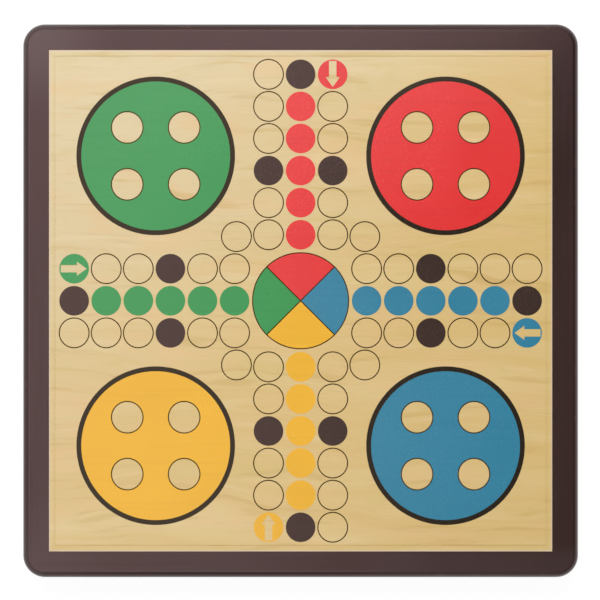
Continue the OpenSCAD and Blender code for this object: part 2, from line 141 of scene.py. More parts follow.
class Nodes:
    """Lays out and joins the nodes of one material, or of the surroundings."""

    def __init__(self, owner: Material | bpy.types.World) -> None:
        """Starts with an empty tree.

        Args:
            owner: What the tree belongs to.
        """
        owner.use_nodes = True
        self.owner = owner
        self.tree = owner.node_tree
        self.tree.nodes.clear()

    def feed(self, socket: Socket, value: object) -> None:
        """Joins a socket to another one, or sets its value.

        Args:
            socket: The input socket.
            value: An output socket, a number, a vector, or a colour as three values or six digits.
        """
        if isinstance(value, str):
            value = paint(value)
        if isinstance(value, bpy.types.NodeSocket):
            self.tree.links.new(value, socket)
        elif isinstance(value, tuple) and len(socket.default_value) == 4:
            socket.default_value = (*value, 1.0)
        else:
            socket.default_value = value

    def node(self, kind: str, fed: dict[int | str, object], **settings: str) -> bpy.types.Node:
        """Adds a node.

        Args:
            kind: Blender's name for it, after "ShaderNode".
            fed: What its inputs get, by their numbers or names.
            settings: Its settings, by Blender's names for them.

        Returns:
            The node.
        """
        node = self.tree.nodes.new("ShaderNode" + kind)
        for name, setting in settings.items():
            setattr(node, name, setting)
        for socket, value in fed.items():
            self.feed(node.inputs[socket], value)
        return node

    def calc(self, operation: str, a: Number, b: Number = 0.0) -> Socket:
        """One step of arithmetic, by Blender's name for it."""
        return self.node("Math", {0: a, 1: b}, operation=operation).outputs[0]

    def product(self, first: Number, *others: Number) -> Socket:
        """Multiplies values with each other.

        Args:
            first: The first value.
            others: The others.

        Returns:
            The product.
        """
        for other in others:
            first = self.calc("MULTIPLY", first, other)
        return first

    def apart(self, a: Number, b: Number) -> Socket:
        """How far apart two values are."""
        return self.calc("ABSOLUTE", self.calc("SUBTRACT", a, b))

    def part(self, vector: Socket, which: int) -> Socket:
        """One coordinate of a vector."""
        return self.node("SeparateXYZ", {0: vector}).outputs[which]

    def span(self, value: Number, low: float, high: float, start: float = 0.0, end: float = 1.0) -> Socket:
        """A value brought from the range low to high, which may run down, to start to end, eased."""
        fed = {"Value": value, "From Min": low, "From Max": high, "To Min": start, "To Max": end}
        return self.node("MapRange", fed, interpolation_type="SMOOTHSTEP").outputs[0]


class Bench(Nodes):
    """Lays out one material, from the point on the piece to its surface."""

    def __init__(self, name: str) -> None:
        """Starts a material with one surface shader.

        Args:
            name: The material's name.
        """
        super().__init__(bpy.data.materials.new(name))
        self.surface = self.node("BsdfPrincipled", {})
        self.node("OutputMaterial", {"Surface": self.surface.outputs[0]})

    @cached_property
    def place(self) -> Socket:
        """The point on the piece, in metres, which moves with the piece."""
        return self.node("TexCoord", {}).outputs["Object"]

    def axis(self, which: int) -> Socket:
        """One coordinate of the point on the piece, in metres."""
        return self.part(self.place, which)

    def cloud(
        self,
        scale: float | Triple,
        detail: float = 2.0,
        rough: float = 0.5,
        bend: float = 0.0,
        turn: float = 0.0,
        point: Socket | None = None,
    ) -> Socket:
        """Soft noise from 0 to 1.

        Args:
            scale: Features per metre, one number or one for each axis.
            detail: Number of finer layers.
            rough: Strength of the finer layers.
            bend: How much the noise bends itself.
            turn: Angle about Z, in radians, by which the pattern is turned.
            point: The point at which it is read, where that isn't the point on the piece.

        Returns:
            The noise.
        """
        point = self.place if point is None else point
        scale = scale if isinstance(scale, tuple) else (scale,) * 3
        where = self.node("Mapping", {"Vector": point, "Scale": scale, "Rotation": (0, 0, turn)}).outputs[0]
        fed = {"Vector": where, "Scale": 1.0, "Detail": detail, "Roughness": rough, "Distortion": bend}
        return self.node("TexNoise", fed).outputs[0]

    def shades(self, share: Socket, *stops: tuple[float, str]) -> Socket:
        """A colour that follows a share from 0 to 1.

        Args:
            share: The share.
            stops: Each place from 0 to 1, with its colour.

        Returns:
            The colour.
        """
        node = self.node("ValToRGB", {0: share})
        band = node.color_ramp.elements
        while len(band) < len(stops):
            band.new(1.0)
        for element, (at, colour) in zip(band, stops):
            element.position = at
            element.color = (*paint(colour), 1.0)
        return node.outputs[0]

    def mixed(self, share: Number, a: object, b: object, way: str = "MIX") -> Socket:
        """Two colours, mixed by the share of the second one and Blender's name for the blend."""
        return self.node("Mix", {0: share, 6: a, 7: b}, data_type="RGBA", blend_type=way).outputs[2]

    def tinted(
        self, colour: object, tint: object, noise: Socket, low: float, high: float, most: float
    ) -> Socket:
        """A colour into which a tint comes as a noise goes from low to high, up to a share of most."""
        return self.mixed(self.span(noise, low, high, 0, most), colour, tint)

    def relief(
        self, height: Socket, depth: float, strength: float = 1.0, under: Socket | None = None
    ) -> Socket:
        """A surface that stands up and sinks with a height.

        Args:
            height: The height, from 0 to 1.
            depth: What a height of 1 stands for, in metres.
            strength: Share of the relief that shows.
            under: Another relief that it lies on.

        Returns:
            The surface's direction.
        """
        fed = {"Strength": strength, "Distance": depth, "Height": height}
        if under is not None:
            fed["Normal"] = under
        return self.node("Bump", fed).outputs[0]

    def finish(self, **sockets: object) -> Material:
        """Sets the surface's sockets and hands the material over.

        Args:
            sockets: The shader's socket names in small letters with _ for a space, and their values.

        Returns:
            The material.
        """
        names = {s.name.lower().replace(" ", "_"): s for s in self.surface.inputs}
        for name, value in sockets.items():
            self.feed(names[name], value)
        return self.owner


@dataclass(frozen=True)
class Lacquer:
    """Dark brown satin lacquer on the frame, with the wood's pores just showing through."""

    grain: Grain
    half_case: Flat
    middle: float
    corner: float = 11.5 * MM
    crease: float = 3.5 * MM
    corner_reach: Flat = (0.09, 0.14)
    grip_reach: Flat = (0.02, 0.06)
    grip_front: Flat = (-0.125, -0.135)
    # Where the painted crease highlight fades out towards the right, away from the lamps.
    clean_right: Flat = (0.135, 0.115)
    face_band: Flat = (13 * MM, 17 * MM)
    deep: str = "281a16"
    warm: str = "32211c"
    worn: str = "6e5349"
    # Colour of the painted sheen and the painted crease highlight, a pale haze that stands in for the lamps'
    # reflection.
    milky: str = "483c3b"
    glow: Colour = (1.0, 0.66, 0.68)

    def material(self) -> Material:
        """The lacquer, worn a little along the case's outer edges, with a painted sheen at the left corners
        and in front at the right, and a painted highlight along the crease.

        Returns:
            The material.
        """
        b = Bench("lacquer_" + self.grain.name.lower())
        pores = b.cloud(self.grain.streaks(420, 14), detail=3, rough=0.6)
        drift = b.cloud(11, detail=3)
        peel = b.cloud(650, detail=1)
        colour = b.shades(drift, (0.3, self.deep), (0.7, self.warm))
        colour = b.mixed(b.span(pores, 0.5, 0.78, 0, 0.22), colour, self.deep, "MULTIPLY")
        inward = self.inward(b)
        # Painted light: a pale haze for the lamps' reflection at the left corners and in front at the right,
        # and a painted highlight along the crease.
        milky = b.calc("MAXIMUM", self.milky_places(b), self.rubbed_crease(b, inward))
        colour = b.mixed(milky, colour, self.milky)
        colour = b.mixed(b.product(self.worn_places(b, inward), 0.4), colour, self.worn)
        rough = b.calc("ADD", b.span(drift, 0.25, 0.75, 0.2, 0.25), b.span(pores, 0.4, 0.8, 0, 0.05))
        relief = b.relief(pores, 0.02 * MM, 0.35, b.relief(peel, 0.015 * MM, 0.25))
        return b.finish(base_color=colour, roughness=rough, ior=1.5, specular_tint=self.glow, normal=relief)

    def milky_places(self, b: Bench) -> Socket:
        """Where a painted sheen lies on the lacquer, a pale haze that stands in for the lamps' reflection:
        at the left corners and in front at the right.

        Args:
            b: The material's bench.

        Returns:
            A share from 0 to 1, highest at the left back corner.
        """
        # Painted sheen at the left corners, strongest at the back, where the lamps' reflection lies.
        leftward = b.span(b.axis(0), *(-reach for reach in self.corner_reach))
        outward = b.span(b.calc("ABSOLUTE", b.axis(1)), *self.corner_reach)
        corners = b.product(leftward, outward, b.span(b.axis(1), -0.05, 0.05, 0.5, 1.0))
        # Painted sheen along the front at the right, standing in for the lamps' reflection there.
        front_sheen = b.product(b.span(b.axis(0), *self.grip_reach, 0, 0.35), b.span(b.axis(1), *self.grip_front))
        return b.calc("MAXIMUM", corners, front_sheen)

    def inward(self, b: Bench) -> Socket:
        """Distance inside the case's rounded outline, seen from above, up to the corner's radius.

        Args:
            b: The material's bench.

        Returns:
            The distance in metres.
        """
        squares = []
        for i, half in enumerate(self.half_case):
            past = b.calc("SUBTRACT", b.calc("ABSOLUTE", b.axis(i)), half - self.corner)
            past = b.calc("MAXIMUM", past, 0.0)
            squares.append(b.product(past, past))
        return b.calc("SUBTRACT", self.corner, b.calc("POWER", b.calc("ADD", *squares), 0.5))

    def near_face(self, b: Bench) -> Socket:
        """1 on the case's two outer faces and 0 low on its sides."""
        return b.span(b.apart(b.axis(2), self.middle), *self.face_band)

    def rubbed_crease(self, b: Bench, inward: Socket) -> Socket:
        """A thin painted highlight where the flat face meets its rounded edge, standing in for the lamps
        catching the crease, all round but at the right.
        """
        # Painted highlight: a thin pale line along the crease, left out on the right side.
        line = b.span(b.apart(inward, self.crease), 0.75 * MM, 0.15 * MM, 0, 0.35)
        return b.product(line, self.near_face(b), b.span(b.axis(0), *self.clean_right))

    def worn_places(self, b: Bench, inward: Socket) -> Socket:
        """Where hands have rubbed the edge round each outer face, from 0 to 1."""
        rubbed = b.span(b.cloud(90, detail=5, rough=0.65), 0.56, 0.74)
        return b.product(b.span(inward, 3.4 * MM, 1.4 * MM), self.near_face(b), rubbed)


@dataclass(frozen=True)
class BoardTimber:
    """The pale board: soft wavy grain along X under a satin varnish, greener outside the scored line."""

    half_board: Flat
    score_inset: float
    light: str = "e0c58a"
    mid: str = "dbba77"
    rosy: str = "e4bb82"
    green: str = "cfb76a"
    tan: str = "cba85f"
    fleck: str = "a5813f"
    # Paler tone of the painted light towards the back left corner.
    faded: str = "ddd1b2"
    # Colour of a painted highlight along the board's edge next to the frame.
    edge: str = "dcc3a6"
    cream: str = "ead2a6"
    strip_shift: float = 0.6 * MM
    fading_slant: float = -0.9
    fading_reach: Flat = (-0.04, 0.2)

    def material(self) -> Material:
        """The varnished wood, with painted light towards the back left and a painted highlight along the
        frame.

        Returns:
            The material.
        """
        b = Bench("board_timber")
        wander = b.cloud((9, 24, 9), detail=2)
        point = self.shifted(b, wander)
        broad = b.cloud((3, 46, 46), detail=3, rough=0.55, point=point)
        blotch = b.cloud((20, 62, 62), detail=3, rough=0.6, point=point)
        ripple = b.cloud((17, 170, 170), detail=3, rough=0.5, bend=0.5, point=point)
        fine = b.cloud((24, 520, 520), detail=3, rough=0.6, point=point)
        hair = b.cloud((38, 1500, 1500), detail=2, rough=0.6, point=point)
        colour = b.shades(broad, (0.28, self.light), (0.52, self.mid), (0.78, self.light))
        # Painted light: the wood is mixed towards a paler tone at the back left.
        colour = b.mixed(self.fading(b, wander), colour, self.faded)
        colour = b.tinted(colour, self.rosy, blotch, 0.5, 0.66, 0.42)
        colour = b.tinted(colour, self.green, blotch, 0.44, 0.3, 0.3)
        colour = b.tinted(colour, self.tan, ripple, 0.56, 0.7, 0.5)
        colour = b.tinted(colour, self.cream, ripple, 0.42, 0.28, 0.25)
        colour = b.tinted(colour, self.fleck, fine, 0.56, 0.78, 0.2)
        colour = b.tinted(colour, self.fleck, hair, 0.62, 0.8, 0.2)
        inside = self.inside_edge(b)
        from_line = b.apart(inside, self.score_inset - self.strip_shift)
        strip = b.product(b.span(from_line, 1.2 * MM, 0.5 * MM), b.span(fine, 0.3, 0.7, 0.15, 0.35))
        colour = b.mixed(strip, colour, self.green)
        # Painted highlight: a thin pale line along the board's edge where it meets the frame.
        colour = b.tinted(colour, self.edge, inside, 1.3 * MM, 0.5 * MM, 0.75)
        rough = b.calc("ADD", b.span(broad, 0.3, 0.7, 0.22, 0.26), b.span(fine, 0.4, 0.7, 0, 0.05))
        relief = b.relief(fine, 0.02 * MM, 0.3, b.relief(hair, 0.01 * MM, 0.3))
        return b.finish(base_color=colour, roughness=rough, ior=1.5, normal=relief)

    def fading(self, b: Bench, wander: Socket) -> Socket:
        """How much painted light brightens the wood, most towards the back left corner, standing in for the
        light and its sheen falling brightest there.

        Args:
            b: The material's bench.
            wander: Slow noise from 0 to 1.

        Returns:
            The share of the pale colour.
        """
        across = b.product(b.axis(0), self.fading_slant)
        place = b.calc("ADD", b.calc("ADD", b.axis(1), across), b.span(wander, 0.2, 0.8, -0.03, 0.03))
        return b.span(place, *self.fading_reach, 0, 0.5)

    def shifted(self, b: Bench, wander: Socket) -> Socket:
        """The point on the board, pushed a little across the grain so that the lines wander."""
        push = b.node("CombineXYZ", {1: b.span(wander, 0.2, 0.8, -6 * MM, 6 * MM)}).outputs[0]
        return b.node("VectorMath", {0: b.place, 1: push}, operation="ADD").outputs[0]

    def inside_edge(self, b: Bench) -> Socket:
        """Distance inside the nearest edge of the board, seen from above."""
        away = (b.calc("ABSOLUTE", b.axis(i)) for i in range(2))
        return b.calc("MINIMUM", *(b.calc("SUBTRACT", half, a) for half, a in zip(self.half_board, away)))


@dataclass(frozen=True)
class BareTimber:
    """Unvarnished light wood with plain grain."""

    name: str
    grain: Grain
    light: str
    dark: str
    turn: float = 0.0

    def material(self) -> Material:
        """The sanded wood.

        Returns:
            The material.
        """
        b = Bench(self.name)
        bands = b.cloud(self.grain.streaks(150, 7), detail=3, bend=0.4, turn=self.turn)
        fibres = b.cloud(self.grain.streaks(900, 40), detail=3, rough=0.65, turn=self.turn)
        colour = b.shades(bands, (0.3, self.light), (0.72, self.dark))
        colour = b.mixed(b.span(fibres, 0.5, 0.8, 0, 0.35), colour, self.dark, "MULTIPLY")
        rough = b.span(fibres, 0.3, 0.7, 0.52, 0.66)
        relief = b.relief(fibres, 0.03 * MM, 0.5)
        return b.finish(base_color=colour, roughness=rough, ior=1.45, normal=relief)


@dataclass(frozen=True)
class Ply:
    """Three-layer plywood of a divider, whose layers show on its narrow faces."""

    name: str
    across: Grain
    centre: float
    thickness: float
    face: str = "d9bb85"
    band: str = "c9a66c"
    fibre: str = "b08a52"
    core: str = "b98f57"
    pore: str = "8f6a3d"
    glue: str = "7d5a33"

    def material(self) -> Material:
        """The plywood, with its layers laid across the divider.

        Returns:
            The material.
        """
        b = Bench(self.name)
        along = Grain.ALONG_X if self.across is Grain.ALONG_Y else Grain.ALONG_Y
        fibres = b.cloud(along.streaks(700, 24), detail=3, rough=0.6)
        ends = b.cloud(1600, detail=2)
        bands = b.cloud((18, 18, 60), detail=3)
        depth = b.apart(b.axis(self.across.value), self.centre)
        layer = self.thickness / 6
        core = b.span(depth, layer + 0.06 * MM, layer - 0.06 * MM)
        glue = b.span(b.apart(depth, layer), 0.09 * MM, 0.02 * MM)
        colour = b.tinted(self.face, self.band, bands, 0.3, 0.7, 0.4)
        colour = b.tinted(colour, self.fibre, fibres, 0.45, 0.8, 0.5)
        colour = b.mixed(core, colour, b.tinted(self.core, self.pore, ends, 0.4, 0.7, 1.0))
        colour = b.mixed(b.product(glue, 0.7), colour, self.glue)
        rough = b.span(fibres, 0.3, 0.7, 0.55, 0.7)
        relief = b.relief(fibres, 0.04 * MM, 0.5)
        return b.finish(base_color=colour, roughness=rough, ior=1.45, normal=relief)


@dataclass(frozen=True)
class Ink:
    """Screen-printed ink under the board's varnish, through which the grain shows faintly."""

    name: str
    colour: str
    veil: float = 0.01
    timber: str = "d9bd88"
    glow: Colour = (1.0, 1.0, 1.0)

    def material(self) -> Material:
        """The varnished ink.

        Returns:
            The material.
        """
        b = Bench(self.name)
        grain = b.cloud((14, 430, 430), detail=3, rough=0.6)
        screen = b.cloud(900, detail=2)
        drift = b.cloud(16, detail=2)
        body = paint(self.colour)
        pale = tuple(min(1.0, c * 1.06 + 0.003) for c in body)
        dark = tuple(c * 0.9 for c in body)
        colour = b.tinted(body, pale, drift, 0.3, 0.7, 1.0)
        colour = b.tinted(colour, dark, grain, 0.48, 0.8, 0.5)
        colour = b.tinted(colour, self.timber, screen, 0.3, 0.8, self.veil)
        rough = b.calc("ADD", b.span(drift, 0.3, 0.7, 0.22, 0.26), b.span(screen, 0.4, 0.8, 0, 0.04))
        relief = b.relief(grain, 0.01 * MM, 0.25, b.relief(screen, 0.003 * MM, 0.2))
        return b.finish(base_color=colour, roughness=rough, ior=1.46, specular_tint=self.glow, normal=relief)


@dataclass(frozen=True)
class Felt:
    """Dark green wool felt."""

    body: str = "2b5a45"
    shade: str = "1c3f30"
    tip: str = "4b7d65"

    def material(self) -> Material:
        """Matted fibres with a soft sheen.

        Returns:
            The material.
        """
        b = Bench("felt")
        fibres = b.cloud(1500, detail=4, rough=0.7, bend=1.5)
        tufts = b.cloud(330, detail=3, rough=0.6, bend=0.8)
        wear = b.cloud(19, detail=3)
        colour = b.shades(fibres, (0.28, self.shade), (0.52, self.body), (0.78, self.tip))
        colour = b.tinted(colour, self.shade, tufts, 0.4, 0.75, 0.4)
        colour = b.tinted(colour, self.tip, wear, 0.5, 0.75, 0.2)
        rough = b.span(tufts, 0.3, 0.7, 0.88, 1.0)
        relief = b.relief(fibres, 0.25 * MM, 0.6, b.relief(tufts, 0.3 * MM, 0.4))
        soft = {"specular_ior_level": 0.2, "sheen_weight": 0.35, "sheen_roughness": 0.45}
        return b.finish(base_color=colour, roughness=rough, normal=relief, **soft)


@dataclass(frozen=True)
class Metal:
    """Plated or bare metal, brushed along X and a little dulled."""

    name: str
    body: str
    dull: str
    smooth: float
    rough: float

    def material(self) -> Material:
        """The brushed metal.

        Returns:
            The material.
        """
        b = Bench(self.name)
        brushed = b.cloud((120, 5200, 5200), detail=2)
        bloom = b.cloud(420, detail=4, rough=0.6)
        scratch = b.cloud((2600, 240, 2600), detail=2, turn=0.6)
        colour = b.tinted(self.body, self.dull, bloom, 0.42, 0.78, 0.65)
        colour = b.tinted(colour, self.dull, brushed, 0.5, 0.8, 0.2)
        rough = b.span(bloom, 0.3, 0.75, self.smooth, self.rough)
        rough = b.calc("ADD", rough, b.span(scratch, 0.6, 0.8, 0, 0.12))
        relief = b.relief(brushed, 0.006 * MM, 0.5, b.relief(scratch, 0.008 * MM, 0.3))
        return b.finish(base_color=colour, metallic=1.0, roughness=rough, normal=relief)


@dataclass(frozen=True)
class Enamel:
    """Glossy paint on a turned pawn, rubbed through to the wood in places on its foot and its head."""

    name: str
    colour: str
    height: float
    timber: str = "cdb07a"

    def material(self) -> Material:
        """The painted wood, in the pawn's own frame with Z along its axis.

        Returns:
            The material.
        """
        b = Bench(self.name)
        body = paint(self.colour)
        deep = tuple(c * 0.78 for c in body)
        drift = b.cloud((130, 130, 60), detail=3)
        turned = b.cloud((60, 60, 2400), detail=2)
        pits = b.cloud(800, detail=2)
        colour = b.tinted(body, deep, drift, 0.35, 0.75, 0.6)
        colour = b.tinted(colour, deep, turned, 0.55, 0.8, 0.25)
        rim = b.span(b.axis(2), 0.55 * MM, 0.05 * MM)
        top = b.span(b.axis(2), self.height - 0.6 * MM, self.height)
        chipped = b.span(b.cloud((520, 520, 700), detail=4, rough=0.6), 0.56, 0.66)
        bare = b.product(b.calc("MAXIMUM", rim, b.product(top, 0.5)), chipped)
        colour = b.mixed(b.product(bare, 0.75), colour, self.timber)
        rough = b.calc("ADD", b.span(drift, 0.3, 0.75, 0.16, 0.24), b.product(bare, 0.35))
        relief = b.relief(turned, 0.02 * MM, 0.25, b.relief(pits, 0.02 * MM, 0.15))
        gloss = {"ior": 1.5, "coat_weight": 0.3, "coat_roughness": 0.1}
        return b.finish(base_color=colour, roughness=rough, normal=relief, **gloss)


@dataclass(frozen=True)
class PipPaint:
    """Dark paint that has settled in the die's pips."""

    dark: str = "241a18"
    dusty: str = "40312c"

    def material(self) -> Material:
        """The paint, a little uneven.

        Returns:
            The material.
        """
        b = Bench("pip_paint")
        specks = b.cloud(2400, detail=3)
        colour = b.shades(specks, (0.35, self.dark), (0.75, self.dusty))
        rough = b.span(specks, 0.3, 0.7, 0.3, 0.45)
        return b.finish(base_color=colour, roughness=rough, normal=b.relief(specks, 0.02 * MM, 0.4))


# Meshes


@dataclass
class Mesh:
    """Points and faces of a piece that is being built."""

    points: list[Triple] = field(default_factory=list)
    faces: list[tuple[int, ...]] = field(default_factory=list)

    def add(self, points: Iterable[Triple], faces: Iterable[Sequence[int]]) -> None:
        """Adds a part with its own point numbers.

        Args:
            points: The part's points.
            faces: Its faces, by the part's own point numbers.
        """
        start = len(self.points)
        self.points.extend(tuple(p) for p in points)
        self.faces.extend(tuple(start + i for i in face) for face in faces)

    def plate(self, loops: Sequence[Loop], low: float, high: float) -> None:
        """Adds a flat plate.

        Args:
            loops: Its outline, counter-clockwise, and then its holes, clockwise.
            low: Height of its lower face.
            high: Height of its upper face.
        """
        flat = [p for loop in loops for p in loop]
        count = len(flat)
        points = [(x, y, low) for x, y in flat] + [(x, y, high) for x, y in flat]
        faces: list[Sequence[int]] = []
        start = 0
        for loop in loops:
            size = len(loop)
            for i in range(size):
                a, b = start + i, start + (i + 1) % size
                faces.append((a, b, count + b, count + a))
            start += size
        if len(loops) == 2 and len(loops[0]) == len(loops[1]):
            faces.extend(self.ring_faces(len(loops[0]), count))
        else:
            for a, b, c in tessellate_polygon([[Vector((x, y, 0)) for x, y in loop] for loop in loops]):
                up = (Vector(flat[b]) - Vector(flat[a])).cross(Vector(flat[c]) - Vector(flat[a])) > 0
                a, c = (a, c) if up else (c, a)
                faces.append((count + a, count + b, count + c))
                faces.append((c, b, a))
        self.add(points, faces)

    @staticmethod
    def ring_faces(size: int, count: int) -> list[tuple[int, ...]]:
        """The upper and lower faces between two loops of one size, the second running backwards.

        Args:
            size: Number of points in each loop.
            count: Distance from a lower point's number to its upper one.

        Returns:
            The faces.
        """
        faces = []
        for i in range(size):
            a, b = i, (i + 1) % size
            c, d = size + (size - b) % size, size + (size - a) % size
            faces.append((count + a, count + b, count + c, count + d))
            faces.append((d, c, b, a))
        return faces

    def turned(self, profile: Sequence[Flat], steps: int, place: Matrix) -> None:
        """Adds a body turned about Z.

        Args:
            profile: Radius and height of each point, from the axis to the axis, upwards on the outside.
            steps: Number of steps round the axis.
            place: Where the turned body goes.
        """
        points = []
        rings: list[list[int]] = []
        for radius, height in profile:
            count = 1 if math.isclose(radius, 0.0, abs_tol=1e-9) else steps
            rings.append(list(range(len(points), len(points) + count)))
            for k in range(count):
                angle = 2 * math.pi * k / steps
                points.append(place @ Vector((radius * math.cos(angle), radius * math.sin(angle), height)))
        faces = []
        for low, high in zip(rings, rings[1:]):
            for k in range(steps):
                quad = (
                    low[k % len(low)],
                    low[(k + 1) % len(low)],
                    high[(k + 1) % len(high)],
                    high[k % len(high)],
                )
                faces.append(tuple(dict.fromkeys(quad)))
        self.add(points, faces)

    def piece(self, name: str, smooth_below: float = 0.0) -> Object:
        """Makes the object.

        Args:
            name: The piece's name.
            smooth_below: Angle between faces, in degrees, up to which they are shaded as one.

        Returns:
            The object, linked to the scene.
        """
        mesh = bpy.data.meshes.new(name)
        mesh.from_pydata(self.points, [], self.faces)
        mesh.validate()
        mesh.update()
        if smooth_below:
            mesh.shade_smooth()
            mesh.set_sharp_from_angle(angle=math.radians(smooth_below))
        made = bpy.data.objects.new(name, mesh)
        bpy.context.scene.collection.objects.link(made)
        return made


def circle(diameter: float, centre: Flat = (0.0, 0.0), steps: int = 96) -> Loop:
    """A circle, counter-clockwise.

    Args:
        diameter: Its diameter.
        centre: Its middle.
        steps: Number of points.

    Returns:
        The points.
    """
    radius = diameter / 2
    turns = (2 * math.pi * k / steps for k in range(steps))
    return [(centre[0] + radius * math.cos(t), centre[1] + radius * math.sin(t)) for t in turns]


def hole(loop: Loop) -> Loop:
    """A loop that runs the other way round, starting at the same point."""
    return [loop[0], *reversed(loop[1:])]


def quarter_turned(loop: Loop, quarter: int) -> Loop:
    """Turns a loop about the board's middle.

    Args:
        loop: The loop.
        quarter: Number of quarter turns to the left.

    Returns:
        The turned loop.
    """
    for _ in range(quarter):
        loop = [(-y, x) for x, y in loop]
    return loop


def fit(piece: Object, body: Body, slot: str, finish: Material, *stands_for: str) -> Object:
    """Dresses a piece, seats it on its body and reports it.

    Args:
        piece: The piece, in its place.
        body: The half of the case that it moves with.
        slot: The record's material slot. Not used.
        finish: Its material.
        stands_for: The nodes that it replaces.

    Returns:
        The piece.
    """
    piece.data.materials.append(finish)
    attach(piece, body.value)
    if stands_for:
        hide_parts(*stands_for)
    log.info("%s: %d faces, rides on %s", piece.name, len(piece.data.polygons), body.value)
    return piece


def dress(frame: Frame, finish: Material, *nodes: str) -> None:
    """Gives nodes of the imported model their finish.

    Args:
        frame: The loaded frame.
        finish: The material.
        nodes: The nodes' names.
    """
    for name in nodes:
        for slot in frame["nodes"][name].material_slots:
            slot.material = finish
        log.info("%s: dressed with %s", name, finish.name)


# Sub-assemblies


@dataclass
class Case:
    """The two trays: their rails, panels and corner keys."""

    width: float = 290 * MM
    depth: float = 289 * MM
    height: float = 36 * MM
    rail_width: float = 13.8 * MM
    score_inset: float = 3.1 * MM
    panel_thickness: float = 4 * MM
    lining_thickness: float = 1 * MM

    @property
    def half_cavity(self) -> Flat:
        """Half of the clear width and of the clear depth inside the rails."""
        return self.width / 2 - self.rail_width, self.depth / 2 - self.rail_width

    @property
    def floor_top(self) -> float:
        """Height of the felt's upper face in the base."""
        return self.panel_thickness + self.lining_thickness

    def dress(self, frame: Frame) -> None:
        """Gives the rails, the panels and the keys their finishes.

        Args:
            frame: The loaded frame.
        """
        half_case = (self.width / 2, self.depth / 2)
        lying = Lacquer(Grain.ALONG_X, half_case, self.height / 2).material()
        upright = Lacquer(Grain.ALONG_Y, half_case, self.height / 2).material()
        for tray in Body:
            dress(frame, lying, f"{tray.value}_front_rail", f"{tray.value}_back_rail")
            dress(frame, upright, f"{tray.value}_left_rail", f"{tray.value}_right_rail")
        dress(frame, BoardTimber(self.half_cavity, self.score_inset).material(), "board_panel")
        panel = BareTimber("panel_timber", Grain.ALONG_X, "dcc190", "c2a069")
        dress(frame, panel.material(), "base_panel")
        key = BareTimber("key_timber", Grain.ALONG_Z, "caa76f", "a9824c")
        dress(frame, key.material(), "base_corner_keys", "lid_corner_keys")


